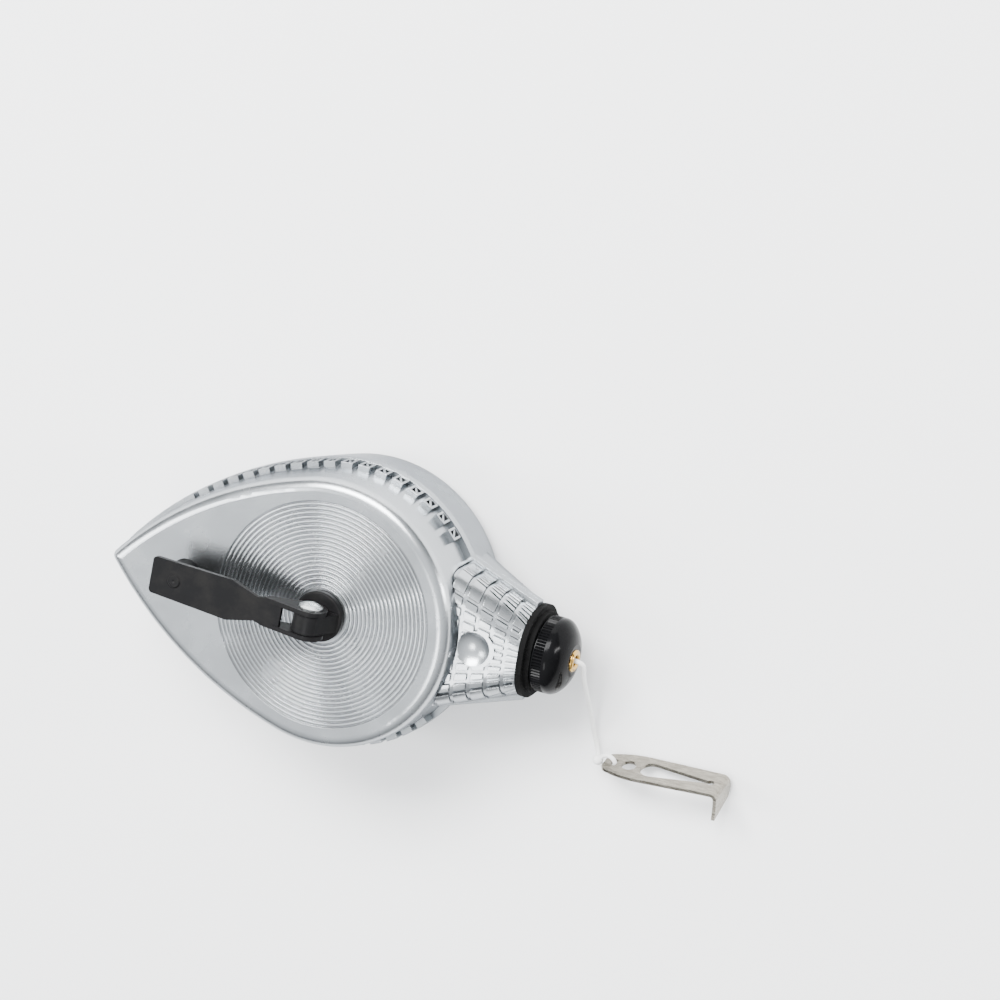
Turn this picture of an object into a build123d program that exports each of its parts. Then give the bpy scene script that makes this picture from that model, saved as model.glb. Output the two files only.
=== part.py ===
from build123d import *
import math
import os

# Chalk line reel, lying on its back. +Z is the spool's axis and points out of the front face, +X runs
# from the pointed tail to the nose, and z = 0 is the flat back. All lengths are in millimetres.

# ---- Driving dimensions: case -------------------------------------------------------------------
CASE_H = 37.0            # thickness of the closed case
PART_Z = 18.5            # height of the parting plane, which is also the nose's axis
WALL = 2.2               # thickness of the die-cast walls
AXIS_X = 0.7             # the spool's axis, so that the whole reel is centred on the origin

ROUND_R = 34.6           # radius of the round body at the front face
FLANK_R = 100.0          # radius of each long flank, which runs from the round body to the tail
FLANK_X = 16.6           # how far towards the nose the flank's centre lies
FLANK_Y = math.sqrt((FLANK_R - ROUND_R) ** 2 - FLANK_X ** 2)
TAIL_R = 1.1             # blunting of the tail inside and on the rim
FRONT_TAIL_R = 2.2       # blunting of the front shell's tail
REAR_TAIL_ROUND = 1.2    # rounding of the rear shell's tail

WALL_GROW = 0.9          # how much wider the front shell is at its foot than at its face
RIM_GROW = 2.4           # how much wider the parting rim is than the front face
RIM_H = 2.3              # height of the front shell's rim
FRONT_ROUND = 3.2        # rounding of the front edge
REAR_DRAFT = 8.5         # degrees of draft on the rear shell
REAR_ROUND = 5.5         # rounding of the rear edge

# ---- Driving dimensions: neck and nose ----------------------------------------------------------
NECK_START = 24.0        # inside the round body
NECK_END = 50.5          # end face of the neck
NECK_WIDE = 20.9         # half width at NECK_START
NECK_NARROW = 11.3       # half width at NECK_END
NECK_TALL = 14.6         # half height at NECK_START
NECK_LOW = 10.5          # half height at NECK_END
NECK_CORNER = 4.6        # corner radius at NECK_START
NECK_END_CORNER = 9.6    # corner radius at NECK_END
NECK_WALL = 2.0
END_WALL = 2.2           # the neck's end wall
NECK_RIM = 1.5           # how far the parting rim stands out along the neck

PAD_COLUMNS = 5          # raised pads along the neck
PAD_ROWS = 9             # raised pads across the neck's face
PAD_START = 30.6         # where the pads begin
PAD_GAP = 1.0            # groove between two pads
PAD_DEPTH = 0.7
BARS = 5                 # narrow slots in each group on the neck's sides
BAR_PITCH = 1.15
BAR_GAP = 0.5
DIMPLE_X = 39.8          # thumb dimple on the neck
DIMPLE_R = 4.3
DIMPLE_DEPTH = 1.5

TOOTH_PITCH = 4.65       # grip teeth along the front shell's side wall
TOOTH_W = 3.1
TOOTH_H = 4.3
TOOTH_OUT = 1.5
TOOTH_COUNT = 18
TOOTH_FRAME = 0.6        # wall round the pocket in each tooth
TOOTH_POCKET = 0.95      # depth of the pocket
TOOTH_RIB = 0.6          # width of the slanting rib in the pocket
TOOTH_LEAN = 32          # degrees that the rib leans
TOOTH_FIRST = 43.5       # degrees from the nose direction to the first tooth

GROOVES = 20             # turned grooves on the face
GROOVE_FIRST = 7.64      # radius of the innermost groove
GROOVE_PITCH = 1.12
GROOVE_DEPTH = 0.34

SCREW_R = 1.5            # case screws, driven from the back
SCREW_HEAD_R = 2.6
SCREW_HEAD_T = 1.7
SCREW_SEAT = 2.5
NECK_SCREW_SEAT = 9.2

# ---- Driving dimensions: spool and crank --------------------------------------------------------
SHAFT_R = 3.0
RUN = 0.05               # radial clearance of everything that turns in a bush
FLANGE_R = 26.5
FLANGE_T = 1.4
SPOOL_LOW = 6.2          # underside of the lower flange
SPOOL_HIGH = 30.8        # top of the upper flange
DRUM_R = 9.0
COIL_R = 21.5            # outside of the wound line
BUSH_R = 5.2

HUB_R = 6.5
HUB_GAP = 0.25           # hub above the face
HUB_T = 1.7
RIVET_Z = CASE_H + 7.0   # height of the crank's fold axis
TONGUE_R = 4.0
TONGUE_HALF = 2.35
EAR_R = 4.3
SHEET = 1.15             # pressed steel of the crank arm
EAR_IN = 2.6             # inner face of each ear
CRANK_TURN = 2.8         # degrees that the folded arm is turned from the case's long axis
ARM_TOP = CASE_H + 10.4  # outer face of the folded arm
ARM_REACH = 43.0
ARM_END_HALF = 4.8
ARM_SHOULDER = 20.8
ARM_SHOULDER_HALF = 5.35
ARM_WAIST = 13.2         # the narrowest place of the arm
ARM_WAIST_HALF = 3.15
ARM_NECK = 10.4
ARM_MOUTH = 6.3          # where the plate stops between the ears
KNOB_X = 36.4
KNOB_R = 4.6
KNOB_L = 5.8
KNOB_PIN_R = 1.3
RIVET_R = 1.6
RIVET_HEAD_R = 3.05

# ---- Driving dimensions: nose cap ---------------------------------------------------------------
GASKET_T = 2.9
GASKET_STEP = 1.5        # thickness of the gasket's wider part
GASKET_OUT = 0.55        # how far the wider part stands out past the neck's end
GASKET_IN = 1.0          # how far the narrower part stands in from the neck's end
CAP_START = NECK_END + GASKET_T + 0.15
CAP_R = 9.8
CAP_BAND = 3.3           # length of the knurled band
CAP_DOME = 5.2           # length of the dome
CAP_FLAT = CAP_START + CAP_BAND + 4.7     # flat spot on the dome
SPIGOT_R = 7.6
SPIGOT_ROOT = 7.0
SPIGOT_END = CAP_START + 4.6
COLLAR_BORE = 5.6
THREAD_PITCH = 2.0
KNURLS = 76
KNURL_W = 0.6
EYELET_LIP = 0.65        # how far the eyelet's rolled flange stands out of the cap

# ---- Driving dimensions: line and hook ----------------------------------------------------------
LINE_D = 1.2
HOOK_T = 0.9             # steel plate
HOOK_L = 30.5            # from the tied end to the bend
HOOK_END_HALF = 3.0
HOOK_BELLY_HALF = 5.2
HOOK_BEND_HALF = 4.7
HOOK_LIP = 4.9
HOOK_BELLY_U = 11.0      # distances along the hook from its tied end: its widest place,
TIE_SLOT_U = 2.6         # the slot for the knot,
TIE_SLOT_L = 2.8
TIE_SLOT_W = 1.5
NAIL_HOLE_U = 6.6        # the nail hole,
NAIL_HOLE_R = 1.95
SLOT_START = 12.8        # and the long slot's round end and its narrow one
SLOT_R = 2.9
SLOT_TIP = 28.3
SLOT_TIP_R = 0.5
HOOK_AT = (70.1, -28.7, 4.7)         # middle of the hook's tied end
HOOK_ALONG = (0.9949, 0.0901, 0.0462)
HOOK_FACE = (-0.0996, 0.9536, 0.2842)     # normal of the plate, on the side away from the lip

# The free line's route, from the eyelet to its knot at the hook.
LINE_ROUTE = [
    (62.3, 0.0, 18.5),
    (64.1, 0.0, 18.5),
    (64.8, -1.3, 17.5),
    (64.4, -4.3, 15.8),
    (64.2, -8.1, 12.6),
    (64.3, -12.2, 9.1),
    (64.4, -16.3, 6.0),
    (64.7, -20.2, 3.5),
    (65.1, -23.4, 1.9),
    (66.0, -25.8, 1.5),
    (66.9, -27.4, 2.2),
    (67.7, -28.3, 3.6),
]

os.makedirs("parts", exist_ok=True)


# ---- Frames -------------------------------------------------------------------------------------
def deck(z):
    """A level plane centred on the spool's axis."""
    return Plane(origin=(AXIS_X, 0, z))


def under(z):
    """A level plane centred on the spool's axis that faces down."""
    return Plane(origin=(AXIS_X, 0, z), x_dir=(1, 0, 0), z_dir=(0, 0, -1))


def across(x):
    """An upright plane across the nose's axis. Its x runs along +Y and its y along +Z."""
    return Plane(origin=(AXIS_X + x, 0, PART_Z), x_dir=(0, 1, 0), z_dir=(1, 0, 0))


def side(y):
    """An upright plane through the spool's axis whose y is height and whose x is the row's X."""
    return Plane(origin=(AXIS_X, y, 0), x_dir=(1, 0, 0), z_dir=(0, -1, 0))


CRANK_X = Vector(math.cos(math.radians(CRANK_TURN)), -math.sin(math.radians(CRANK_TURN)), 0)
CRANK_Y = Vector(math.sin(math.radians(CRANK_TURN)), math.cos(math.radians(CRANK_TURN)), 0)


def crank_deck(z):
    """A level plane centred on the spool's axis whose x runs along the crank arm."""
    return Plane(origin=(AXIS_X, 0, z), x_dir=CRANK_X, z_dir=(0, 0, 1))


def crank_side(y):
    """An upright plane along the crank arm, off to one side, whose y is height."""
    return Plane(origin=Vector(AXIS_X, 0, 0) + CRANK_Y * y, x_dir=CRANK_X, z_dir=-CRANK_Y)


# ---- Outlines -----------------------------------------------------------------------------------
def on_flank(grow, angle):
    """A point on the upper flank's arc."""
    r = FLANK_R + grow
    return (FLANK_X + r * math.cos(angle), -FLANK_Y + r * math.sin(angle))


JOIN_ANGLE = math.atan2(FLANK_Y, -FLANK_X)     # where the flank meets the round body


def teardrop(grow, tail=0.0):
    """The body's outline grown outward by a distance, with its tail blunted by a radius."""
    r = ROUND_R + grow
    tail_angle = math.pi - math.asin(FLANK_Y / (FLANK_R + grow))
    tip = on_flank(grow, tail_angle)
    middle = on_flank(grow, (tail_angle + JOIN_ANGLE) / 2)
    join = on_flank(grow, JOIN_ANGLE)
    with BuildSketch() as outline:
        with BuildLine():
            ThreePointArc(tip, (middle[0], -middle[1]), (join[0], -join[1]))
            ThreePointArc((join[0], -join[1]), (r, 0), join)
            ThreePointArc(join, middle, tip)
        make_face()
        if tail > 0:
            fillet(outline.vertices().sort_by(Axis.X)[0], radius=tail)
    return outline.sketch


def neck_half(x, inset=0.0):
    """The neck's half width at a distance along the nose's axis."""
    t = (x - NECK_START) / (NECK_END - NECK_START)
    return NECK_WIDE + (NECK_NARROW - NECK_WIDE) * t - inset


def neck_height(x, inset=0.0):
    """The neck's half height at a distance along the nose's axis."""
    t = (x - NECK_START) / (NECK_END - NECK_START)
    return NECK_TALL + (NECK_LOW - NECK_TALL) * t - inset


def neck_corner(x):
    t = (x - NECK_START) / (NECK_END - NECK_START)
    return NECK_CORNER + (NECK_END_CORNER - NECK_CORNER) * t


def neck_plan(grow, start, end):
    """The neck's outline seen from above, grown outward."""
    with BuildSketch() as outline:
        with BuildLine():
            Polyline(
                (start, -neck_half(start) - grow),
                (end, -neck_half(end) - grow),
                (end, neck_half(end) + grow),
                (start, neck_half(start) + grow),
                close=True,
            )
        make_face()
    return outline.sketch


# ---- Neck forms, used by both shells ------------------------------------------------------------
def neck_body(inset, end):
    """The neck as a solid that runs to an end, drawn in all round by a distance."""
    with BuildPart() as body:
        for x in (NECK_START, end):
            with BuildSketch(across(x)):
                corner = neck_corner(x) - inset
                RectangleRounded(2 * neck_half(x, inset), 2 * neck_height(x, inset), corner)
        loft(ruled=True)
    return body.part


def cut_at_joint(form, sign):
    """The half of a neck form above (1) or below (-1) the parting plane."""
    with BuildPart() as half:
        add(form)
        with Locations((NECK_END / 2, 0, PART_Z + sign * 25)):
            Box(100, 100, 50, mode=Mode.INTERSECT)
    return half.part


CAVITY_END = NECK_END - END_WALL
neck_form = neck_body(0, NECK_END)
neck_cavity = neck_body(NECK_WALL, CAVITY_END)

# Bosses for the five case screws: one in the tail, one on each flank and one each side of the neck.
BODY_SCREWS = [(-43.0, 0.0), (-29.0, 17.3), (-29.0, -17.3)]
NECK_SCREWS = [(36.0, 11.2), (36.0, -11.2)]
BOSS_R = 3.0
REAR_BOSS_R = 3.6
PILOT_R = 1.2
PILOT_DEPTH = 8.5

neck_lining = neck_body(NECK_WALL / 2, NECK_END)
with BuildPart() as neck_bosses:
    with BuildSketch(deck(PART_Z - NECK_TALL)):
        with Locations(*NECK_SCREWS):
            Circle(REAR_BOSS_R)
    extrude(amount=2 * NECK_TALL)
    add(neck_lining, mode=Mode.INTERSECT)

# ---- Front shell --------------------------------------------------------------------------------
def tooth_spots():
    """Places of the grip teeth along one side, at a constant pitch along the side wall."""
    spots = []
    reach = ROUND_R + WALL_GROW * 0.75
    step = TOOTH_PITCH / reach
    angle = math.radians(TOOTH_FIRST)
    z = PART_Z + RIM_H + TOOTH_H / 2 - 0.1
    while angle < JOIN_ANGLE:
        spots.append((reach * math.cos(angle), reach * math.sin(angle), z, math.degrees(angle)))
        angle += step
    rest = (angle - JOIN_ANGLE) * reach
    while len(spots) < TOOTH_COUNT:
        flank = JOIN_ANGLE + rest / (FLANK_R + WALL_GROW)
        x, y = on_flank(WALL_GROW * 0.75, flank)
        spots.append((x, y, z, math.degrees(flank)))
        rest += TOOTH_PITCH
    return spots


def tooth_places(out=0, lean=0):
    """Both sides' teeth, each turned so that its local x points outward, moved out and leant over."""
    places = []
    for x, y, z, angle in tooth_spots():
        for sign in (1, -1):
            spot = Location((AXIS_X + x, sign * y, z), (0, 0, sign * angle))
            places.append(spot * Location((out, 0, 0), (sign * lean, 0, 0)))
    return places


def groove_profile():
    """The turned face in section: shallow grooves with softly crowned lands between them."""
    points = [(GROOVE_FIRST - 0.32, 0.6)]
    for k in range(GROOVES):
        r = GROOVE_FIRST + k * GROOVE_PITCH
        points += [(r - 0.32, -0.03), (r - 0.07, -GROOVE_DEPTH)]
        points += [(r + 0.07, -GROOVE_DEPTH), (r + 0.32, -0.03)]
        if k < GROOVES - 1:
            points.append((r + GROOVE_PITCH / 2, -0.002))
    points.append((points[-1][0], 0.6))
    return points


PAD_PITCH = (NECK_END - PAD_START) / PAD_COLUMNS
neck_core = neck_body(PAD_DEPTH, NECK_END + 0.01)

# Slabs that cross the neck where the grooves are. They cut no deeper than neck_core.
with BuildPart() as neck_grooves:
    for column in range(PAD_COLUMNS):
        with BuildSketch(across(PAD_START + column * PAD_PITCH)):
            Rectangle(80, 60)
        extrude(amount=PAD_GAP)
    middle = (PAD_START + NECK_END) / 2
    for row in range(PAD_ROWS + 1):
        share = 2 * row / PAD_ROWS - 1
        near = share * (neck_half(PAD_START) - 0.7 * neck_corner(PAD_START))
        far = share * (neck_half(NECK_END) - 0.5 * neck_corner(NECK_END))
        angle = math.degrees(math.atan((far - near) / (NECK_END - PAD_START)))
        place = Location((AXIS_X + middle, (near + far) / 2, PART_Z + 10), (0, 0, angle))
        with Locations(place):
            Box(NECK_END - PAD_START, PAD_GAP, 12)
    for bar in range(BARS):
        z = PART_Z + RIM_H + 0.9 + bar * BAR_PITCH
        with Locations((AXIS_X + middle, 0, z)):
            Box(NECK_END - PAD_START, 80, BAR_GAP)
    add(neck_core, mode=Mode.SUBTRACT)
    with Locations((AXIS_X + DIMPLE_X, 0, PART_Z + NECK_TALL)):
        Cylinder(DIMPLE_R + 0.45, 2 * NECK_TALL - 8, mode=Mode.SUBTRACT)

neck_upper = cut_at_joint(neck_form, 1)
with BuildPart() as neck_front:
    add(neck_upper)
    add(neck_grooves.part, mode=Mode.SUBTRACT)
    dimple_ball = (DIMPLE_R ** 2 + DIMPLE_DEPTH ** 2) / (2 * DIMPLE_DEPTH)
    dimple_z = PART_Z + neck_height(DIMPLE_X) + dimple_ball - DIMPLE_DEPTH
    with Locations((AXIS_X + DIMPLE_X, 0, dimple_z)):
        Sphere(dimple_ball, mode=Mode.SUBTRACT)

BOSS_TOP = CASE_H - WALL
BUSH_LOW = 31.6
neck_bosses_front = cut_at_joint(neck_bosses.part, 1)
with BuildPart() as front_shell:
    with BuildSketch(deck(PART_Z)):
        add(teardrop(WALL_GROW, FRONT_TAIL_R))
    extrude(amount=CASE_H - PART_Z, taper=math.degrees(math.atan(WALL_GROW / (CASE_H - PART_Z))))
    fillet(faces().sort_by(Axis.Z)[-1].edges(), radius=FRONT_ROUND)
    add(neck_front.part)
    with BuildSketch(deck(PART_Z)):
        add(teardrop(RIM_GROW, TAIL_R))
        add(neck_plan(NECK_RIM, NECK_START, NECK_END))
    extrude(amount=RIM_H)
    with Locations(*tooth_places()):
        Box(2 * TOOTH_OUT, TOOTH_W, TOOTH_H)
    with Locations(*tooth_places(TOOTH_OUT)):
        pocket = (2 * TOOTH_POCKET, TOOTH_W - 2 * TOOTH_FRAME, TOOTH_H - 2 * TOOTH_FRAME)
        Box(*pocket, mode=Mode.SUBTRACT)
    with Locations(*tooth_places(TOOTH_OUT - TOOTH_POCKET / 2 - 0.15, TOOTH_LEAN)):
        Box(TOOTH_POCKET - 0.1, TOOTH_RIB, TOOTH_H - TOOTH_FRAME)
    with BuildSketch(deck(PART_Z)):
        add(teardrop(WALL_GROW - WALL, TAIL_R))
    extrude(amount=BOSS_TOP - PART_Z, mode=Mode.SUBTRACT)
    add(neck_cavity, mode=Mode.SUBTRACT)
    with BuildSketch(across(CAVITY_END)):
        Circle(SPIGOT_R + RUN)
    extrude(amount=END_WALL + 1, mode=Mode.SUBTRACT)
    with BuildSketch(deck(BUSH_LOW)):
        Circle(BUSH_R + 2)
    extrude(amount=BOSS_TOP - BUSH_LOW + 0.5)
    with BuildSketch(deck(BUSH_LOW)):
        Circle(BUSH_R)
    extrude(amount=CASE_H - BUSH_LOW + 1, mode=Mode.SUBTRACT)
    with BuildSketch(deck(PART_Z)):
        with Locations(*BODY_SCREWS):
            Circle(BOSS_R)
    extrude(amount=BOSS_TOP - PART_Z + 0.5)
    add(neck_bosses_front)
    with BuildSketch(deck(PART_Z)):
        with Locations(*BODY_SCREWS, *NECK_SCREWS):
            Circle(PILOT_R)
    extrude(amount=PILOT_DEPTH, mode=Mode.SUBTRACT)
    with BuildSketch(Plane(origin=(AXIS_X, 0, CASE_H), x_dir=(1, 0, 0), z_dir=(0, -1, 0))):
        with BuildLine():
            Polyline(*groove_profile(), close=True)
        make_face()
    revolve(axis=Axis((AXIS_X, 0, 0), (0, 0, 1)), mode=Mode.SUBTRACT)
front_shell.part.label = "front_shell"
export_step(front_shell.part, "parts/front_shell.step")

# ---- Rear shell ---------------------------------------------------------------------------------
SEAL_GROW = 0.5          # the seal's outer line, measured from the front face's outline
SEAL_W = 1.1
SEAL_T = 0.8
SEAL_SQUEEZE = 0.02
REAR_BOSS_TOP = 5.8
REAR_FLOOR = 2.4


def seal_ring(extra):
    """The seal's path round the case, open at the nose, widened by a margin on each side."""
    outer = SEAL_GROW + extra
    inner = SEAL_GROW - SEAL_W - extra
    end = NECK_END - 5 + extra
    with BuildSketch() as ring:
        add(teardrop(outer, TAIL_R))
        add(neck_plan(outer - 0.7, NECK_START, end))
        add(teardrop(inner, TAIL_R), mode=Mode.SUBTRACT)
        add(neck_plan(inner - 0.7, NECK_START, NECK_END), mode=Mode.SUBTRACT)
    return ring.sketch


neck_rear = cut_at_joint(neck_form, -1)
neck_bosses_rear = cut_at_joint(neck_bosses.part, -1)

with BuildPart() as rear_shell:
    with BuildSketch(under(PART_Z)):
        add(teardrop(RIM_GROW))
    extrude(amount=PART_Z, taper=REAR_DRAFT)
    fillet(faces().sort_by(Axis.Z)[0].edges(), radius=REAR_ROUND)
    tail_edges = rear_shell.edges().filter_by_position(Axis.Y, -0.01, 0.01)
    fillet(tail_edges.filter_by_position(Axis.X, -70, -50), radius=REAR_TAIL_ROUND)
    add(neck_rear)
    with BuildSketch(deck(PART_Z - RIM_H * 0.6)):
        add(neck_plan(NECK_RIM, NECK_START, NECK_END))
    extrude(amount=RIM_H * 0.6)
    with BuildSketch(under(PART_Z)):
        add(teardrop(WALL_GROW - WALL, TAIL_R))
    extrude(amount=PART_Z - REAR_FLOOR, taper=REAR_DRAFT, mode=Mode.SUBTRACT)
    add(neck_cavity, mode=Mode.SUBTRACT)
    with BuildSketch(across(CAVITY_END)):
        Circle(SPIGOT_R + RUN)
    extrude(amount=END_WALL + 1, mode=Mode.SUBTRACT)
    with BuildSketch(deck(REAR_FLOOR - 0.5)):
        Circle(BUSH_R + 2)
    extrude(amount=REAR_BOSS_TOP - REAR_FLOOR + 0.5)
    with BuildSketch(deck(REAR_FLOOR - 0.9)):
        Circle(BUSH_R)
    extrude(amount=10, mode=Mode.SUBTRACT)
    with BuildSketch(deck(REAR_FLOOR - 0.5)):
        with Locations(*BODY_SCREWS):
            Circle(REAR_BOSS_R)
    extrude(amount=PART_Z - REAR_FLOOR + 0.5)
    add(neck_bosses_rear)
    with BuildSketch(deck(-0.1)):
        with Locations(*BODY_SCREWS, *NECK_SCREWS):
            Circle(SCREW_R + 0.2)
    extrude(amount=PART_Z + 1, mode=Mode.SUBTRACT)
    with BuildSketch(deck(-0.1)):
        with Locations(*BODY_SCREWS):
            Circle(SCREW_HEAD_R + 0.25)
    extrude(amount=SCREW_SEAT + 0.1, mode=Mode.SUBTRACT)
    with BuildSketch(deck(-0.1)):
        with Locations(*NECK_SCREWS):
            Circle(SCREW_HEAD_R + 0.25)
    extrude(amount=NECK_SCREW_SEAT + 0.1, mode=Mode.SUBTRACT)
    with BuildSketch(deck(PART_Z - SEAL_T)):
        add(seal_ring(SEAL_SQUEEZE))
    extrude(amount=SEAL_T + 0.1, mode=Mode.SUBTRACT)
rear_shell.part.label = "rear_shell"
export_step(rear_shell.part, "parts/rear_shell.step")

with BuildPart() as shell_seal:
    with BuildSketch(deck(PART_Z - SEAL_T)):
        add(seal_ring(0))
    extrude(amount=SEAL_T - SEAL_SQUEEZE)
shell_seal.part.label = "shell_seal"
export_step(shell_seal.part, "parts/shell_seal.step")

SCREW_TIP = PART_Z + PILOT_DEPTH - 0.5
SCREW_SLOT = 3.4
with BuildPart() as case_screws:
    for spots, seat in ((BODY_SCREWS, SCREW_SEAT), (NECK_SCREWS, NECK_SCREW_SEAT)):
        with BuildSketch(deck(seat - SCREW_HEAD_T)):
            with Locations(*spots):
                Circle(SCREW_HEAD_R)
        extrude(amount=SCREW_HEAD_T)
        with BuildSketch(deck(seat)):
            with Locations(*spots):
                Circle(SCREW_R)
        extrude(amount=PART_Z - seat)
        with BuildSketch(deck(PART_Z)):
            with Locations(*spots):
                Circle(PILOT_R)
        extrude(amount=SCREW_TIP - PART_Z)
        with BuildSketch(deck(seat - SCREW_HEAD_T)):
            with Locations(*spots):
                Rectangle(SCREW_SLOT, 0.6)
                Rectangle(0.6, SCREW_SLOT)
        extrude(amount=0.9, mode=Mode.SUBTRACT)
case_screws.part.label = "case_screws"
export_step(case_screws.part, "parts/case_screws.step")


# ---- Turned pieces ------------------------------------------------------------------------------
def section(*points):
    """A closed half section with straight sides, as (radius, height) points run anticlockwise."""
    with BuildSketch() as outline:
        with BuildLine():
            Polyline(*points, close=True)
        make_face()
    return outline.sketch


def turned(name, outline, plane):
    """A piece turned about its plane's y axis from a half section, and written as a sub-part."""
    with BuildPart() as piece:
        with BuildSketch(plane):
            add(outline)
        revolve(axis=Axis(plane.origin, plane.y_dir))
    piece.part.label = name
    export_step(piece.part, "parts/" + name + ".step")
    return piece.part


SPOOL_SECTION = side(0)
NOSE_SECTION = Plane(origin=(AXIS_X, 0, PART_Z), x_dir=(0, 0, 1), z_dir=(0, 1, 0))
RIVET_SECTION = crank_deck(RIVET_Z)
KNOB_SECTION = Plane(origin=Vector(AXIS_X, 0, 0) - CRANK_X * KNOB_X, x_dir=CRANK_X, z_dir=-CRANK_Y)

# ---- Bushes and felt on the spool's axis --------------------------------------------------------
BUSH_BORE = SHAFT_R + RUN
front_section = section((BUSH_BORE, BUSH_LOW), (BUSH_R, BUSH_LOW), (BUSH_R, CASE_H), (BUSH_BORE, CASE_H))
turned("front_bush", front_section, SPOOL_SECTION)

BUSH_FLOOR = REAR_FLOOR - 0.9
SHAFT_LOW = BUSH_FLOOR + 0.8
rear_section = section(
    (0, BUSH_FLOOR),
    (BUSH_R, BUSH_FLOOR),
    (BUSH_R, REAR_BOSS_TOP),
    (BUSH_BORE, REAR_BOSS_TOP),
    (BUSH_BORE, SHAFT_LOW - RUN),
    (0, SHAFT_LOW - RUN),
)
turned("rear_bush", rear_section, SPOOL_SECTION)

FELT_IN = BUSH_BORE + 0.15
FELT_OUT = BUSH_R + 1.4
felt_section = section(
    (FELT_IN, SPOOL_HIGH + 0.1),
    (FELT_OUT, SPOOL_HIGH + 0.1),
    (FELT_OUT, BUSH_LOW),
    (FELT_IN, BUSH_LOW),
)
turned("shaft_felt", felt_section, SPOOL_SECTION)

# ---- Spool, shaft and wound line ----------------------------------------------------------------
HUB_LOW = CASE_H + HUB_GAP
shaft_section = section(
    (0, SHAFT_LOW),
    (SHAFT_R - 0.4, SHAFT_LOW),
    (SHAFT_R, SHAFT_LOW + 0.4),
    (SHAFT_R, HUB_LOW),
    (0, HUB_LOW),
)
turned("spool_shaft", shaft_section, SPOOL_SECTION)

DRUM_LOW = SPOOL_LOW + FLANGE_T
DRUM_HIGH = SPOOL_HIGH - FLANGE_T
drum_section = section((SHAFT_R, DRUM_LOW), (DRUM_R, DRUM_LOW), (DRUM_R, DRUM_HIGH), (SHAFT_R, DRUM_HIGH))
turned("spool_drum", drum_section, SPOOL_SECTION)

coil_section = section(
    (DRUM_R, DRUM_LOW),
    (COIL_R - 0.8, DRUM_LOW),
    (COIL_R, DRUM_LOW + 2.0),
    (COIL_R, DRUM_HIGH - 2.0),
    (COIL_R - 0.8, DRUM_HIGH),
    (DRUM_R, DRUM_HIGH),
)
turned("line_wound", coil_section, SPOOL_SECTION)

WINDOWS = 6
WINDOW_R = 3.2
WINDOW_AT = 17.0
for name, low in (("spool_flange_lower", SPOOL_LOW), ("spool_flange_upper", DRUM_HIGH)):
    with BuildPart() as spool_flange:
        with BuildSketch(deck(low)):
            Circle(FLANGE_R)
            Circle(SHAFT_R, mode=Mode.SUBTRACT)
            with PolarLocations(WINDOW_AT, WINDOWS):
                Circle(WINDOW_R, mode=Mode.SUBTRACT)
        extrude(amount=FLANGE_T)
        rim = spool_flange.edges().filter_by(GeomType.CIRCLE).group_by(SortBy.RADIUS)[-1]
        fillet(rim, radius=0.5)
    spool_flange.part.label = name
    export_step(spool_flange.part, "parts/" + name + ".step")

# ---- Crank hub: a disc on the shaft with an upright tongue that carries the fold rivet ----------
HUB_SLOPE = 38           # degrees that the tongue's sloping back leans
with BuildPart() as crank_hub:
    with BuildSketch(deck(HUB_LOW)):
        Circle(HUB_R)
    extrude(amount=HUB_T)
    fillet(faces().sort_by(Axis.Z)[-1].edges(), radius=0.5)
    with BuildSketch(crank_side(TONGUE_HALF)):
        with BuildLine():
            foot = HUB_LOW + 0.6
            heel = HUB_R - 0.9
            lean = math.radians(HUB_SLOPE)
            slope = (TONGUE_R * math.cos(lean), RIVET_Z + TONGUE_R * math.sin(lean))
            Polyline(
                (-TONGUE_R, RIVET_Z),
                (-TONGUE_R, foot),
                (heel, foot),
                (heel, HUB_LOW + HUB_T + 0.3),
                slope,
            )
            ThreePointArc(slope, (0, RIVET_Z + TONGUE_R), (-TONGUE_R, RIVET_Z))
        make_face()
    extrude(amount=2 * TONGUE_HALF)
    with BuildSketch(crank_side(TONGUE_HALF + 1)):
        with Locations((0, RIVET_Z)):
            Circle(RIVET_R + RUN)
    extrude(amount=2 * TONGUE_HALF + 2, mode=Mode.SUBTRACT)
crank_hub.part.label = "crank_hub"
export_step(crank_hub.part, "parts/crank_hub.step")

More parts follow.
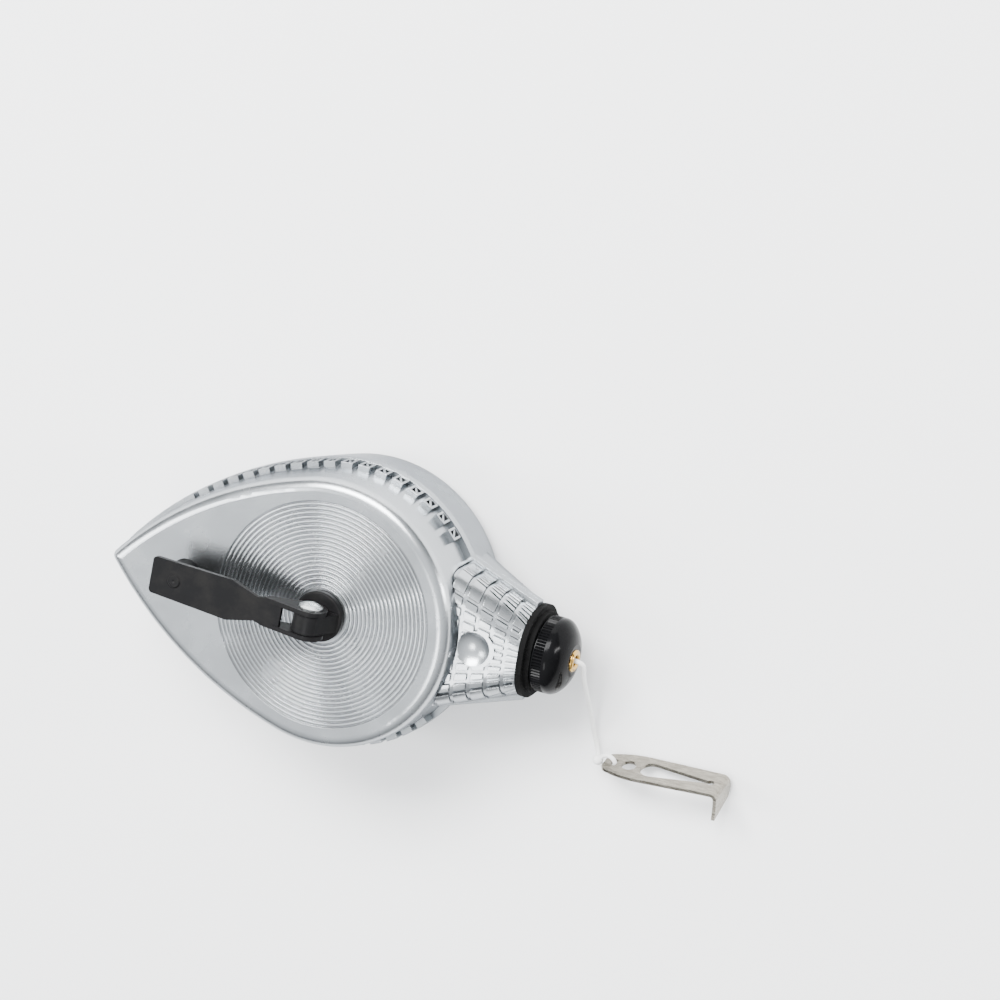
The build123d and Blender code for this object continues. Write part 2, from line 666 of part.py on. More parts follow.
# ---- Crank arm: one pressing, a flat plate with two ears folded down beside the hub's tongue ----
EAR_OUT = EAR_IN + SHEET
PLATE_LOW = ARM_TOP - SHEET
EAR_TAIL = ARM_NECK + 1.0
with BuildPart() as crank_arm:
    with BuildSketch(crank_deck(PLATE_LOW)) as arm_plan:
        with BuildLine():
            Polyline(
                (-ARM_MOUTH, -EAR_OUT),
                (-ARM_MOUTH, EAR_OUT),
                (-ARM_NECK, EAR_OUT),
                (-ARM_WAIST, ARM_WAIST_HALF),
                (-ARM_SHOULDER, ARM_SHOULDER_HALF),
                (-ARM_REACH, ARM_END_HALF),
                (-ARM_REACH, -ARM_END_HALF),
                (-ARM_SHOULDER, -ARM_SHOULDER_HALF),
                (-ARM_WAIST, -ARM_WAIST_HALF),
                (-ARM_NECK, -EAR_OUT),
                close=True,
            )
        make_face()
        fillet(arm_plan.vertices().group_by(Axis.X)[0], radius=1.0)
        fillet(arm_plan.vertices().filter_by_position(Axis.X, -30, -12), radius=0.7)
    extrude(amount=SHEET)
    for near in (EAR_OUT, -EAR_IN):
        with BuildSketch(crank_side(near)):
            with BuildLine():
                foot_angle = math.radians(-105)
                foot = (EAR_R * math.cos(foot_angle), RIVET_Z + EAR_R * math.sin(foot_angle))
                crown_angle = math.radians(100)
                crown = (EAR_R * math.cos(crown_angle), RIVET_Z + EAR_R * math.sin(crown_angle))
                Polyline(
                    crown,
                    (-EAR_TAIL, ARM_TOP - 0.2),
                    (-EAR_TAIL, PLATE_LOW),
                    (-ARM_NECK, PLATE_LOW - 1.6),
                    foot,
                )
                ThreePointArc(foot, (EAR_R, RIVET_Z), crown)
            make_face()
        extrude(amount=SHEET)
    with BuildSketch(crank_side(EAR_OUT + 1)):
        with Locations((0, RIVET_Z)):
            Circle(RIVET_R)
    extrude(amount=2 * EAR_OUT + 2, mode=Mode.SUBTRACT)
    with BuildSketch(crank_deck(PLATE_LOW - 1)):
        with Locations((-KNOB_X, 0)):
            Circle(KNOB_PIN_R)
    extrude(amount=SHEET + 2, mode=Mode.SUBTRACT)
crank_arm.part.label = "crank_arm"
export_step(crank_arm.part, "parts/crank_arm.step")

# ---- Fold rivet, with a domed head on the +Y ear and a smaller one on the other -----------------
RIVET_DOME = 1.35
TAIL_HEAD_R = RIVET_HEAD_R - 0.5
TAIL_DOME = 0.9
with BuildSketch() as rivet_section:
    with BuildLine():
        tail_edge = (TAIL_HEAD_R, -EAR_OUT - 0.3 * TAIL_DOME)
        head_edge = (RIVET_HEAD_R, EAR_OUT + 0.3 * RIVET_DOME)
        ThreePointArc(
            (0.5, -EAR_OUT - TAIL_DOME),
            (0.66 * TAIL_HEAD_R, -EAR_OUT - 0.75 * TAIL_DOME),
            tail_edge,
        )
        Polyline(
            tail_edge,
            (TAIL_HEAD_R, -EAR_OUT),
            (RIVET_R, -EAR_OUT),
            (RIVET_R, EAR_OUT),
            (RIVET_HEAD_R, EAR_OUT),
            head_edge,
        )
        ThreePointArc(
            head_edge,
            (0.66 * RIVET_HEAD_R, EAR_OUT + 0.75 * RIVET_DOME),
            (0.5, EAR_OUT + RIVET_DOME),
        )
        Polyline(
            (0.5, EAR_OUT + RIVET_DOME),
            (0, EAR_OUT + RIVET_DOME),
            (0, -EAR_OUT - TAIL_DOME),
            (0.5, -EAR_OUT - TAIL_DOME),
        )
    make_face()
turned("crank_rivet", rivet_section.sketch, RIVET_SECTION)

# ---- Winding knob and its pin -------------------------------------------------------------------
KNOB_TOP = PLATE_LOW - 0.1
KNOB_LOW = KNOB_TOP - KNOB_L
PIN_HEAD_R = 2.6
pin_section = section(
    (0, KNOB_LOW - 0.9),
    (PIN_HEAD_R - 0.3, KNOB_LOW - 0.9),
    (PIN_HEAD_R, KNOB_LOW - 0.6),
    (PIN_HEAD_R, KNOB_LOW - 0.1),
    (KNOB_PIN_R, KNOB_LOW - 0.1),
    (KNOB_PIN_R, ARM_TOP),
    (KNOB_PIN_R + 0.5, ARM_TOP),
    (KNOB_PIN_R + 0.2, ARM_TOP + 0.35),
    (0.5, ARM_TOP + 0.35),
    (0, ARM_TOP + 0.1),
)
turned("knob_pin", pin_section, KNOB_SECTION)

with BuildSketch() as knob_section:
    with BuildLine():
        bore = KNOB_PIN_R + RUN
        middle_z = (KNOB_LOW + KNOB_TOP) / 2
        Polyline((KNOB_R, KNOB_TOP), (bore, KNOB_TOP), (bore, KNOB_LOW), (KNOB_R, KNOB_LOW))
        ThreePointArc((KNOB_R, KNOB_LOW), (KNOB_R - 0.35, middle_z), (KNOB_R, KNOB_TOP))
    make_face()
    fillet(knob_section.vertices().group_by(Axis.X)[-1], radius=0.7)
turned("knob", knob_section.sketch, KNOB_SECTION)

# ---- Nose: gasket, threaded collar, felt wiper and its washer -----------------------------------
with BuildPart() as nose_gasket:
    for start, end, out in ((0, GASKET_STEP, GASKET_OUT), (GASKET_STEP, GASKET_T, -GASKET_IN)):
        with BuildSketch(across(NECK_END + start)):
            RectangleRounded(2 * (NECK_NARROW + out), 2 * (NECK_LOW + out), NECK_END_CORNER + out)
        extrude(amount=end - start)
    with BuildSketch(across(NECK_END)):
        Circle(SPIGOT_R + RUN)
    extrude(amount=GASKET_T, mode=Mode.SUBTRACT)
nose_gasket.part.label = "nose_gasket"
export_step(nose_gasket.part, "parts/nose_gasket.step")

COLLAR_R = 8.6
COLLAR_T = 2.4
THREAD_CREST = SPIGOT_R - 0.05
THREAD_FIRST = CAP_START + 0.9


def collar_outline():
    """The collar's half section: a flange inside the neck, then a spigot with thread ridges."""
    points = [
        (COLLAR_BORE, CAVITY_END - COLLAR_T),
        (COLLAR_R, CAVITY_END - COLLAR_T),
        (COLLAR_R, CAVITY_END),
        (SPIGOT_R, CAVITY_END),
        (SPIGOT_R, CAP_START - 0.1),
        (SPIGOT_ROOT, CAP_START + 0.2),
    ]
    ridge = THREAD_FIRST
    while ridge + 1.0 < SPIGOT_END:
        points += [(SPIGOT_ROOT, ridge - 0.5), (THREAD_CREST, ridge - 0.1)]
        points += [(THREAD_CREST, ridge + 0.1), (SPIGOT_ROOT, ridge + 0.5)]
        ridge += THREAD_PITCH
    points += [(SPIGOT_ROOT, SPIGOT_END - 0.4), (SPIGOT_ROOT - 0.4, SPIGOT_END), (COLLAR_BORE, SPIGOT_END)]
    return points


turned("nose_collar", section(*collar_outline()), NOSE_SECTION)

WIPER_START = CAVITY_END + 0.8
WIPER_END = WIPER_START + 4.0
WIPER_HOLE_R = LINE_D / 2 + 0.3
wiper_section = section(
    (WIPER_HOLE_R, WIPER_START),
    (COLLAR_BORE, WIPER_START),
    (COLLAR_BORE, WIPER_END),
    (WIPER_HOLE_R, WIPER_END),
)
turned("felt_wiper", wiper_section, NOSE_SECTION)
WASHER_T = 0.8
WASHER_HOLE_R = 1.6
washer_section = section(
    (WASHER_HOLE_R, WIPER_END),
    (COLLAR_BORE, WIPER_END),
    (COLLAR_BORE, WIPER_END + WASHER_T),
    (WASHER_HOLE_R, WIPER_END + WASHER_T),
)
turned("wiper_washer", washer_section, NOSE_SECTION)

# ---- Nose cap: a knurled band and a low dome with a flat round spot for the eyelet --------------
CAP_BORE = SPIGOT_R + 0.15
CAP_HOLE_R = 2.0
CAP_SHOULDER = CAP_START + CAP_BAND
CAP_FLAT_R = CAP_R * math.sqrt(1 - ((CAP_FLAT - CAP_SHOULDER) / CAP_DOME) ** 2)


def dome_at(share):
    """A point on the dome, from its foot (0) to its middle (1)."""
    turn = share * math.pi / 2
    return (CAP_R * math.cos(turn), CAP_SHOULDER + CAP_DOME * math.sin(turn))


flat_turn = math.acos(CAP_FLAT_R / CAP_R)
flat_share = flat_turn / (math.pi / 2)
dome_leaves = (-math.sin(flat_turn) * CAP_R, math.cos(flat_turn) * CAP_DOME)
with BuildSketch() as cap_section:
    with BuildLine():
        Polyline(
            (CAP_HOLE_R, CAP_FLAT),
            (CAP_HOLE_R, CAP_FLAT - 1.6),
            (4.5, CAP_FLAT - 1.6),
            (6.9, CAP_FLAT - 2.7),
            (CAP_BORE, SPIGOT_END + 0.2),
            (CAP_BORE, CAP_START),
            (CAP_R - 0.3, CAP_START),
            (CAP_R, CAP_START + 0.3),
            (CAP_R, CAP_SHOULDER),
        )
        Spline(
            (CAP_R, CAP_SHOULDER),
            dome_at(flat_share * 0.3),
            dome_at(flat_share * 0.6),
            (CAP_FLAT_R, CAP_FLAT),
            tangents=((0, 1), dome_leaves),
        )
        Line((CAP_FLAT_R, CAP_FLAT), (CAP_HOLE_R, CAP_FLAT))
    make_face()
with BuildPart() as nose_cap:
    with BuildSketch(NOSE_SECTION):
        add(cap_section.sketch)
    revolve(axis=Axis(NOSE_SECTION.origin, NOSE_SECTION.y_dir))
    with BuildSketch(across(CAP_START + 0.5)):
        with PolarLocations(CAP_R + 0.1, KNURLS):
            Rectangle(KNURL_W, KNURL_W, rotation=45)
    extrude(amount=CAP_BAND - 0.5 - 0.35, mode=Mode.SUBTRACT)
nose_cap.part.label = "nose_cap"
export_step(nose_cap.part, "parts/nose_cap.step")

# ---- Eyelet: a brass tube with a rolled flange outside and a clenched one inside ----------------
EYELET_BORE_R = 1.4
EYELET_R = 2.85
with BuildSketch() as eyelet_section:
    with BuildLine():
        Polyline(
            (EYELET_R, CAP_FLAT),
            (CAP_HOLE_R, CAP_FLAT),
            (CAP_HOLE_R, CAP_FLAT - 1.6),
            (CAP_HOLE_R + 0.6, CAP_FLAT - 1.6),
            (CAP_HOLE_R + 0.5, CAP_FLAT - 2.2),
            (EYELET_BORE_R, CAP_FLAT - 2.2),
            (EYELET_BORE_R, CAP_FLAT),
        )
        ThreePointArc(
            (EYELET_BORE_R, CAP_FLAT),
            ((EYELET_BORE_R + EYELET_R) / 2 - 0.1, CAP_FLAT + EYELET_LIP),
            (EYELET_R, CAP_FLAT),
        )
    make_face()
turned("eyelet", eyelet_section.sketch, NOSE_SECTION)

# ---- Line inside the case, from the wound line to the eyelet's mouth ----------------------------
LEAD_R = COIL_R + LINE_D / 2 + 0.3
LEAD_BEND_X = WIPER_START - 2.3
lead_angle = math.acos(LEAD_R / LEAD_BEND_X)
lead_start = Vector(AXIS_X + LEAD_R * math.cos(lead_angle), LEAD_R * math.sin(lead_angle), PART_Z)
lead_bend = Vector(AXIS_X + LEAD_BEND_X, 0, PART_Z)
lead_end = Vector(LINE_ROUTE[0])
with BuildPart() as line_inside:
    with BuildLine():
        FilletPolyline(lead_start, lead_bend, lead_end, radius=12)
    with BuildSketch(Plane(origin=lead_start, z_dir=lead_bend - lead_start)):
        Circle(LINE_D / 2)
    sweep()
line_inside.part.label = "line_inside"
export_step(line_inside.part, "parts/line_inside.step")


# ---- Free line ----------------------------------------------------------------------------------
def bend_radii(route):
    """The largest arc at each corner: 0.45 of the shorter run over the tangent of half the turn."""
    points = [Vector(point) for point in route]
    radii = []
    for before, corner, after in zip(points, points[1:], points[2:]):
        turn = (corner - before).get_angle(after - corner)
        run = min((corner - before).length, (after - corner).length)
        radii.append(0.45 * run / math.tan(math.radians(turn) / 2))
    return radii


radii = bend_radii(LINE_ROUTE)
print("free line's radii", [round(r, 1) for r in radii])
with BuildPart() as line_free:
    with BuildLine() as route:
        FilletPolyline(*LINE_ROUTE, radius=radii)
    with BuildSketch(Plane(origin=LINE_ROUTE[0], z_dir=(1, 0, 0))):
        Circle(LINE_D / 2)
    sweep()
length = sum(edge.length for edge in route.edges())
print("free line's length", round(length, 1), "volume", round(line_free.part.volume, 1))
print("section times length", round(math.pi * LINE_D ** 2 / 4 * length, 1))
line_free.part.label = "line_free"
export_step(line_free.part, "parts/line_free.step")

# ---- Hook: a pressed steel plate with a nail hole, a long tapering slot and a bent lip ----------
HOOK_FLAT = Plane(origin=HOOK_AT, x_dir=HOOK_ALONG, z_dir=HOOK_FACE)
ALONG = HOOK_FLAT.x_dir
DOWN = HOOK_FLAT.y_dir
FACE = HOOK_FLAT.z_dir
BEND_IN = 0.85
with BuildPart() as hook:
    with BuildSketch(HOOK_FLAT) as plate:
        with BuildLine():
            quarter = HOOK_BELLY_HALF - 0.45
            ThreePointArc((0, -HOOK_END_HALF), (5.5, -quarter), (HOOK_BELLY_U, -HOOK_BELLY_HALF))
            Line((HOOK_BELLY_U, -HOOK_BELLY_HALF), (HOOK_L, -HOOK_BEND_HALF))
            Line((HOOK_L, -HOOK_BEND_HALF), (HOOK_L, HOOK_BEND_HALF))
            Line((HOOK_L, HOOK_BEND_HALF), (HOOK_BELLY_U, HOOK_BELLY_HALF))
            ThreePointArc((HOOK_BELLY_U, HOOK_BELLY_HALF), (5.5, quarter), (0, HOOK_END_HALF))
            Line((0, HOOK_END_HALF), (0, -HOOK_END_HALF))
        make_face()
        fillet(plate.vertices().group_by(Axis.X)[0], radius=1.5)
    extrude(amount=HOOK_T / 2, both=True)
    with BuildSketch(HOOK_FLAT):
        with Locations((TIE_SLOT_U, 0)):
            SlotOverall(TIE_SLOT_L, TIE_SLOT_W, rotation=90)
        with Locations((NAIL_HOLE_U, 0)):
            Circle(NAIL_HOLE_R)
    extrude(amount=HOOK_T, both=True, mode=Mode.SUBTRACT)
    with BuildSketch(HOOK_FLAT):
        with Locations((SLOT_START, 0)):
            Circle(SLOT_R)
        with Locations((SLOT_TIP, 0)):
            Circle(SLOT_TIP_R)
        make_hull()
        with Locations((SLOT_TIP + 0.6, 0)):
            Circle(2 * SLOT_TIP_R)
    extrude(amount=HOOK_T, both=True, mode=Mode.SUBTRACT)
    bend_middle = HOOK_FLAT.origin + ALONG * HOOK_L - FACE * (HOOK_T / 2 + BEND_IN)
    with BuildSketch(Plane(origin=bend_middle, x_dir=ALONG, z_dir=-DOWN)):
        Circle(BEND_IN + HOOK_T)
        Circle(BEND_IN, mode=Mode.SUBTRACT)
        with Locations((5, 5)):
            Rectangle(10, 10, mode=Mode.INTERSECT)
    extrude(amount=HOOK_BEND_HALF, both=True)
    lip_foot = bend_middle + ALONG * BEND_IN
    with BuildSketch(Plane(origin=lip_foot, x_dir=-FACE, z_dir=ALONG)):
        with BuildLine():
            Polyline(
                (0, -HOOK_BEND_HALF),
                (1.5, -HOOK_BEND_HALF - 0.3),
                (HOOK_LIP, -HOOK_BEND_HALF - 1.6),
                (HOOK_LIP - 1.4, HOOK_BEND_HALF - 1.7),
                (HOOK_LIP - 3.4, HOOK_BEND_HALF),
                (0, HOOK_BEND_HALF),
                close=True,
            )
        make_face()
    extrude(amount=HOOK_T)
hook.part.label = "hook"
export_step(hook.part, "parts/hook.step")

# ---- Knot: a loop through the hook's end slot, drawn up into a knot -----------------------------
LOOP_R = 2.0
KNOT_R = 1.35
loop_middle = HOOK_FLAT.origin + ALONG * (TIE_SLOT_U - LOOP_R + 0.1)
with BuildPart() as line_knot:
    with BuildLine() as loop:
        ThreePointArc(
            loop_middle - ALONG * (0.93 * LOOP_R) + FACE * (0.37 * LOOP_R),
            loop_middle + ALONG * LOOP_R,
            loop_middle - ALONG * (0.93 * LOOP_R) - FACE * (0.37 * LOOP_R),
        )
    with BuildSketch(Plane(origin=loop.line @ 0, z_dir=loop.line % 0)):
        Circle(LINE_D / 2 - 0.05)
    sweep()
    with Locations(loop_middle - ALONG * (LOOP_R + 0.75) + FACE * 0.1):
        Sphere(KNOT_R)
line_knot.part.label = "line_knot"
export_step(line_knot.part, "parts/line_knot.step")
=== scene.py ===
import bpy
from mathutils import Matrix, Vector


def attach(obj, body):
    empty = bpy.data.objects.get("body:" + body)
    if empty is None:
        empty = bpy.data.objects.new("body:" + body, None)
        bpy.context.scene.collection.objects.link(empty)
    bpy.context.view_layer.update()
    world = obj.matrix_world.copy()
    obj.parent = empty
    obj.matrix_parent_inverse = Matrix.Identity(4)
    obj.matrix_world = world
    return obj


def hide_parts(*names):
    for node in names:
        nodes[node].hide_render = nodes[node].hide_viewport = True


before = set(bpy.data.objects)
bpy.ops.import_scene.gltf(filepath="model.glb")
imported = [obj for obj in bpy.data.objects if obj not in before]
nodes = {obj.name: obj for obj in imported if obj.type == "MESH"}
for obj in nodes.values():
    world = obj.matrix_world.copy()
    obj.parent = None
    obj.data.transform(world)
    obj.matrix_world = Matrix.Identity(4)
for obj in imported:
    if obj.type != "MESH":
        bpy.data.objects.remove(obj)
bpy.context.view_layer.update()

# Sizes are in metres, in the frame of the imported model: the reel lies on its back on z = 0, with
# its nose towards +X and its grooved face up.
MM = 0.001

# ---- Camera: a long lens, high over the nose's side, turned so that the tail points left ---------
CAMERA_AT = Vector((0.3256, 0.2694, 0.7790))
LOOK = Vector((-0.3418, -0.2764, -0.8982)).normalized()
UP_HINT = Vector((-0.2418, 0.9495, -0.2002))
LENS = 123.0
SENSOR = 36.0

right = LOOK.cross(UP_HINT).normalized()
up = right.cross(LOOK)
back = -LOOK

camera_data = bpy.data.cameras.new("camera")
camera_data.lens = LENS
camera_data.sensor_width = SENSOR
camera = bpy.data.objects.new("camera", camera_data)
turned = Matrix((right, up, back)).transposed().to_4x4()
camera.matrix_world = Matrix.Translation(CAMERA_AT) @ turned
bpy.context.collection.objects.link(camera)
bpy.context.scene.camera = camera

# ---- Free line -----------------------------------------------------------------------------------
LINE_D = 1.2 * MM
STEPS_ALONG = 8
STEPS_ROUND = 5
LINE_ROUTE = [
    (0.0623, 0.0, 0.0185),
    (0.0641, 0.0, 0.0185),
    (0.0648, -0.0013, 0.0175),
    (0.0644, -0.0043, 0.0158),
    (0.0642, -0.0081, 0.0126),
    (0.0643, -0.0122, 0.0091),
    (0.0644, -0.0163, 0.0060),
    (0.0647, -0.0202, 0.0035),
    (0.0651, -0.0234, 0.0019),
    (0.0660, -0.0258, 0.0015),
    (0.0669, -0.0274, 0.0022),
    (0.0677, -0.0283, 0.0036),
]


def nurbs(name, points, thickness):
    """A round NURBS curve whose control points are the given points.

    The points carry the thickness and the bevel is 1, so that the curve's bounds are right.
    """
    data = bpy.data.curves.new(name, "CURVE")
    data.dimensions = "3D"
    spline = data.splines.new("NURBS")
    spline.points.add(len(points) - 1)
    for spot, point in zip(spline.points, points):
        spot.co = (*point, 1.0)
        spot.radius = thickness / 2
    spline.order_u = 3
    spline.use_endpoint_u = True
    data.resolution_u = STEPS_ALONG
    data.bevel_depth = 1.0
    data.bevel_resolution = STEPS_ROUND
    data.use_fill_caps = True
    piece = bpy.data.objects.new(name, data)
    bpy.context.collection.objects.link(piece)
    return piece


line = nurbs("twisted_line", LINE_ROUTE, LINE_D)
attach(line, "line_end")
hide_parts("line_free")


# ---- Materials -----------------------------------------------------------------------------------
HOLLOW = 1.0 * MM       # how far off a wall the painted shade in the casting's hollows reaches
CAST_EDGE = 0.18 * MM   # radius at which the casting's edges look rounded
TWISTS_ALONG = 60.0     # how close the line's ridges lie along it: about 95 in its whole length
TWISTS_ROUND = 3.0      # and around it, which sets their slant


# Noise scales are in cycles a metre.
class Recipe:
    """A material and short ways to add its nodes."""

    def __init__(self, name):
        self.material = bpy.data.materials.new(name)
        self.material.use_nodes = True
        self.tree = self.material.node_tree
        self.shader = self.tree.nodes["Principled BSDF"]
        self.place = self.tree.nodes.new("ShaderNodeTexCoord").outputs["Object"]

    def set(self, **values):
        for key, value in values.items():
            self.shader.inputs[key.replace("_", " ")].default_value = value

    def add(self, kind, inputs=(), **settings):
        node = self.tree.nodes.new(kind)
        for key, value in settings.items():
            setattr(node, key, value)
        for key, value in dict(inputs).items():
            if isinstance(value, bpy.types.NodeSocket):
                self.tree.links.new(value, node.inputs[key])
            else:
                node.inputs[key].default_value = value
        return node

    def noise(self, scale, detail=2.0, roughness=0.5, stretch=None):
        place = self.place
        if stretch:
            place = self.add("ShaderNodeMapping", {"Vector": place, "Scale": stretch}).outputs[0]
        inputs = {"Vector": place, "Scale": scale, "Detail": detail, "Roughness": roughness}
        return self.add("ShaderNodeTexNoise", inputs).outputs["Fac"]

    def ramp(self, value, low, high, start=0.3, end=0.7):
        """Maps the part of a value between start and end onto a range, and clamps the rest."""
        inputs = {"Value": value, "From Min": start, "From Max": end, "To Min": low, "To Max": high}
        return self.add("ShaderNodeMapRange", inputs).outputs["Result"]

    def mix(self, value, first, second):
        """Blends two colours by a 0 to 1 value."""
        node = self.tree.nodes.new("ShaderNodeMix")
        node.data_type = "RGBA"
        self.tree.links.new(value, node.inputs["Factor"])
        for socket in node.inputs:
            if socket.type == "RGBA":
                socket.default_value = (*(first if socket.name == "A" else second), 1)
        return [socket for socket in node.outputs if socket.type == "RGBA"][0]

    def bump(self, height, depth, edge=0.0):
        """Fine relief, over edges that look rounded to a radius."""
        node = self.add("ShaderNodeBump", {"Height": height, "Distance": depth})
        if edge:
            rounded = self.add("ShaderNodeBevel", {"Radius": edge}, samples=4)
            self.tree.links.new(rounded.outputs[0], node.inputs["Normal"])
        self.tree.links.new(node.outputs[0], self.shader.inputs["Normal"])

    def use(self, socket, key):
        """Links a socket to an input of the shader."""
        self.tree.links.new(socket, self.shader.inputs[key])


def cast_aluminium():
    """Tumbled die-casting: satin, faintly stained, with painted shade in its hollows, finely
    grained.
    """
    m = Recipe("cast_aluminium")
    m.set(Metallic=1.0, Specular_Tint=(0.36, 0.37, 0.39, 1))
    clouds = m.noise(60, 4, 0.6)
    grain = m.noise(2600, 2, 0.6)
    hollow = m.add("ShaderNodeAmbientOcclusion", {"Distance": HOLLOW}, samples=6, only_local=True)
    stain = m.ramp(clouds, 0.86, 1.0)
    # The occlusion darkens the colour in the casting's hollows and between its pads: this is
    # painted shade, not dirt.
    painted_shade = m.ramp(hollow.outputs["AO"], 0.62, 1.0, 0.35, 0.9)
    stain_and_painted_shade = m.add("ShaderNodeMath", {0: stain, 1: painted_shade}, operation="MULTIPLY")
    m.use(m.mix(stain_and_painted_shade.outputs[0], (0.0, 0.0, 0.0), (0.46, 0.48, 0.495)), "Base Color")
    m.use(m.ramp(clouds, 0.23, 0.30), "Roughness")
    m.bump(grain, 0.012 * MM, edge=CAST_EDGE)
    return m.material


def black_paint():
    """Black paint on pressed steel, slightly orange-peeled."""
    m = Recipe("black_paint")
    peel = m.noise(900, 2, 0.5)
    wear = m.noise(140, 5, 0.7)
    worn = m.ramp(wear, 0, 1, 0.45, 0.75)
    m.use(m.mix(worn, (0.008, 0.008, 0.0084), (0.013, 0.0125, 0.012)), "Base Color")
    m.use(m.ramp(wear, 0.30, 0.42), "Roughness")
    m.set(Specular_IOR_Level=0.05)
    m.bump(peel, 0.02 * MM)
    return m.material


def black_plastic(name, rough_low, rough_high, gloss):
    """A black moulding, glossy or satin."""
    m = Recipe(name)
    cloud = m.noise(160, 3, 0.5)
    m.use(m.mix(m.ramp(cloud, 0, 1), (0.002, 0.002, 0.0022), (0.004, 0.004, 0.0045)), "Base Color")
    m.use(m.ramp(cloud, rough_low, rough_high), "Roughness")
    m.set(Specular_IOR_Level=gloss)
    m.bump(m.noise(1500, 2, 0.5), 0.006 * MM)
    return m.material


def rough_rubber():
    """Black rubber with an open grain."""
    m = Recipe("rough_rubber")
    grain = m.noise(1400, 4, 0.75)
    m.use(m.mix(m.ramp(grain, 0, 1), (0.001, 0.001, 0.001), (0.006, 0.006, 0.006)), "Base Color")
    m.use(m.ramp(grain, 0.6, 0.9), "Roughness")
    m.set(Specular_IOR_Level=0.06)
    m.bump(grain, 0.12 * MM)
    return m.material


def brass():
    """Turned brass, unevenly tarnished."""
    m = Recipe("brass")
    m.set(Metallic=1.0)
    cloud = m.noise(500, 3, 0.6)
    m.use(m.mix(m.ramp(cloud, 0, 1), (0.42, 0.24, 0.06), (0.62, 0.42, 0.14)), "Base Color")
    m.use(m.ramp(cloud, 0.16, 0.32), "Roughness")
    m.bump(m.noise(1800, 2, 0.5), 0.01 * MM)
    return m.material


def bright_steel(name, low, high, rough_low, rough_high):
    """Plated or bare steel with a faint brushed streak."""
    m = Recipe(name)
    m.set(Metallic=1.0)
    streak = m.noise(300, 4, 0.6, stretch=(1.0, 6.0, 6.0))
    m.use(m.mix(m.ramp(streak, 0, 1), low, high), "Base Color")
    m.use(m.ramp(streak, rough_low, rough_high), "Roughness")
    m.bump(streak, 0.008 * MM)
    return m.material


def twisted_cotton():
    """White line whose plies show as fine slanting ridges, with painted shade in the grooves
    between them.
    """
    m = Recipe("twisted_cotton")
    place = m.add("ShaderNodeTexCoord").outputs["UV"]
    twists = (TWISTS_ALONG, TWISTS_ROUND, 1.0)
    plies = m.add("ShaderNodeMapping", {"Vector": place, "Scale": twists})
    wave = m.add(
        "ShaderNodeTexWave",
        {"Vector": plies.outputs[0], "Scale": 1.0, "Distortion": 0.4},
        bands_direction="DIAGONAL",
    )
    fuzz = m.noise(3000, 3, 0.6)
    # The colour is darker where the wave is low, in the grooves of the relief: painted shade.
    m.use(m.mix(wave.outputs["Fac"], (0.80, 0.80, 0.79), (0.95, 0.95, 0.93)), "Base Color")
    m.use(m.ramp(fuzz, 0.75, 0.95), "Roughness")
    m.set(Sheen_Weight=0.3, Sheen_Roughness=0.5)
    m.bump(wave.outputs["Fac"], 0.06 * MM)
    return m.material


def dense_felt():
    """Pressed grey felt."""
    m = Recipe("dense_felt")
    fibre = m.noise(1800, 4, 0.7)
    m.use(m.mix(m.ramp(fibre, 0, 1), (0.30, 0.29, 0.27), (0.55, 0.53, 0.50)), "Base Color")
    m.use(m.ramp(fibre, 0.85, 1.0), "Roughness")
    m.bump(fibre, 0.1 * MM)
    return m.material


def moulded_plastic():
    """Dark grey moulding of the spool."""
    m = Recipe("moulded_plastic")
    cloud = m.noise(400, 3, 0.5)
    m.use(m.mix(m.ramp(cloud, 0, 1), (0.05, 0.05, 0.055), (0.09, 0.09, 0.10)), "Base Color")
    m.use(m.ramp(cloud, 0.45, 0.6), "Roughness")
    m.bump(m.noise(1500, 2, 0.5), 0.02 * MM)
    return m.material


aluminium = cast_aluminium()
paint = black_paint()
cap_skin = black_plastic("gloss_plastic", 0.10, 0.18, 0.06)
knob_skin = black_plastic("satin_plastic", 0.5, 0.6, 0.02)
rubber = rough_rubber()
brass_skin = brass()
zinc = bright_steel("zinc_plate", (0.30, 0.30, 0.31), (0.45, 0.45, 0.45), 0.28, 0.42)
bright = bright_steel("bright_rivet", (0.50, 0.52, 0.52), (0.68, 0.69, 0.68), 0.22, 0.34)
nickel = bright_steel("nickel_plate", (0.17, 0.155, 0.13), (0.32, 0.30, 0.255), 0.20, 0.34)
cotton = twisted_cotton()
felt = dense_felt()
plastic = moulded_plastic()

SKINS = {
    aluminium: ["front_shell", "rear_shell"],
    cap_skin: ["nose_cap", "nose_collar"],
    knob_skin: ["knob"],
    rubber: ["nose_gasket", "shell_seal"],
    brass_skin: ["eyelet", "front_bush", "rear_bush", "wiper_washer"],
    zinc: ["case_screws", "spool_shaft"],
    bright: ["crank_rivet"],
    paint: ["crank_arm", "crank_hub", "knob_pin"],
    nickel: ["hook"],
    cotton: ["line_wound", "line_inside", "line_knot"],
    felt: ["shaft_felt", "felt_wiper"],
    plastic: ["spool_drum", "spool_flange_lower", "spool_flange_upper"],
}
for skin, names in SKINS.items():
    for name in names:
        mesh = nodes[name].data
        mesh.materials.clear()
        mesh.materials.append(skin)
line.data.materials.append(cotton)

# ---- Floor and light -----------------------------------------------------------------------------
FLOOR_REACH = 3.0
SKY_TOP = 0.95        # height on a sphere of radius 1 above which the sky is brightest
SKY_DIM = 0.06        # its strength at the horizon
SKY_BRIGHT = 1.85     # and overhead

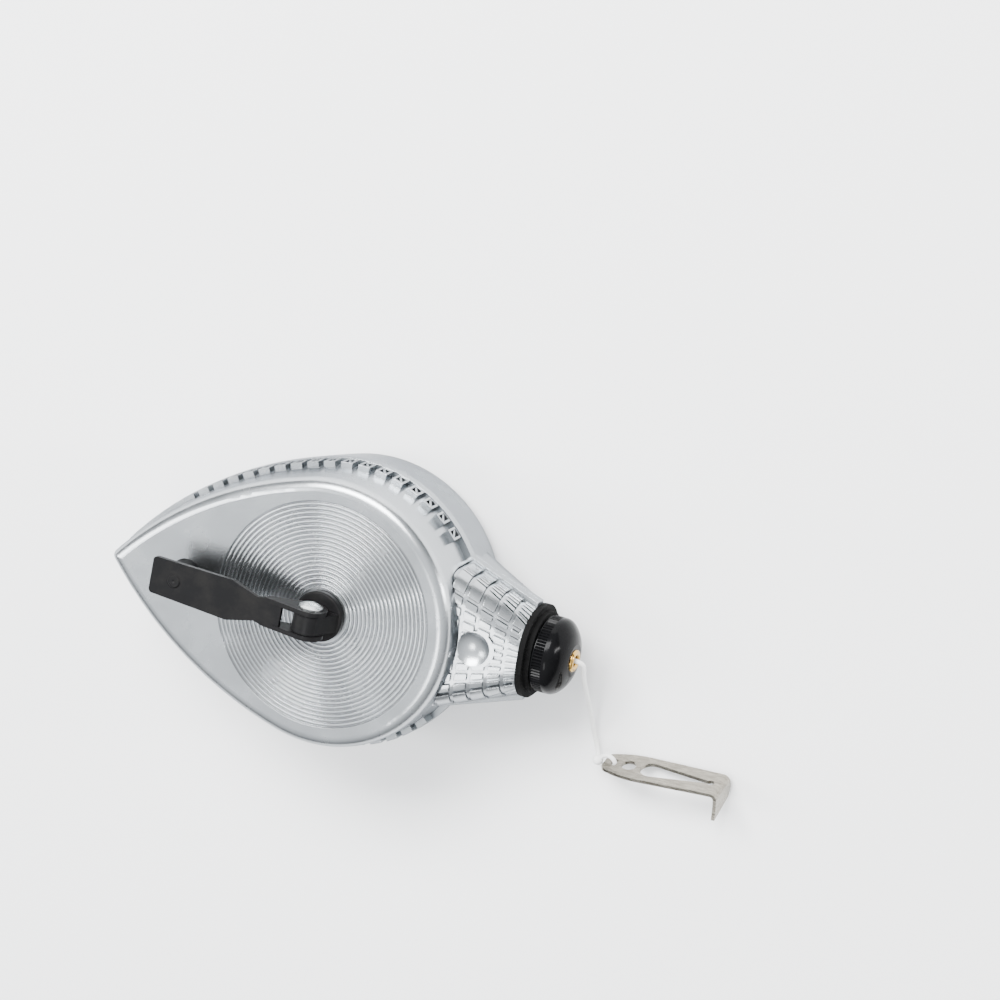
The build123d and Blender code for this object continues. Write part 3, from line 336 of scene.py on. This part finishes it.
floor_data = bpy.data.meshes.new("floor")
signs = ((-1, -1), (1, -1), (1, 1), (-1, 1))
corners = [(x * FLOOR_REACH, y * FLOOR_REACH, 0) for x, y in signs]
floor_data.from_pydata(corners, [], [(0, 1, 2, 3)])
floor = bpy.data.objects.new("floor", floor_data)
bpy.context.collection.objects.link(floor)
pale = Recipe("pale_floor")
pale.set(Roughness=0.9, Specular_IOR_Level=0.1)
mottle = pale.ramp(pale.noise(8), 0, 1)
pale.use(pale.mix(mottle, (0.94, 0.94, 0.94), (0.96, 0.96, 0.96)), "Base Color")
floor_data.materials.append(pale.material)

# A studio sky, bright overhead and dim near the horizon.
world = bpy.data.worlds.new("studio")
world.use_nodes = True
sky = world.node_tree
direction = sky.nodes.new("ShaderNodeTexCoord").outputs["Generated"]
height = sky.nodes.new("ShaderNodeSeparateXYZ")
sky.links.new(direction, height.inputs[0])
shade = sky.nodes.new("ShaderNodeMapRange")
sky.links.new(height.outputs["Z"], shade.inputs["Value"])
span = {"From Min": 0.0, "From Max": SKY_TOP, "To Min": SKY_DIM, "To Max": SKY_BRIGHT}
for key, value in span.items():
    shade.inputs[key].default_value = value
sky.nodes["Background"].inputs["Color"].default_value = (0.94, 0.97, 1.0, 1)
sky.links.new(shade.outputs["Result"], sky.nodes["Background"].inputs["Strength"])
bpy.context.scene.world = world


def softbox(name, direction, distance, size, power):
    """An area light that shines at the reel from a direction."""
    data = bpy.data.lights.new(name, "AREA")
    data.shape = "RECTANGLE"
    data.size, data.size_y = size
    data.energy = power
    light = bpy.data.objects.new(name, data)
    light.location = direction.normalized() * distance
    light.rotation_euler = direction.to_track_quat("Z", "Y").to_euler()
    bpy.context.collection.objects.link(light)


# Distances and sizes in metres, powers in watts.
softbox("key_box", back + up * 0.6 - right * 0.45, 1.2, (0.9, 0.5), 46)
softbox("top_box", up + back * 0.25, 1.1, (0.9, 0.3), 4)
softbox("left_box", back * 0.35 - right, 1.2, (0.3, 0.8), 10)
softbox("right_box", right + back * 0.7, 1.2, (0.1, 0.4), 7)
softbox("neck_box", Vector((0.06, -0.34, 0.94)), 1.2, (0.3, 0.4), 4.5)
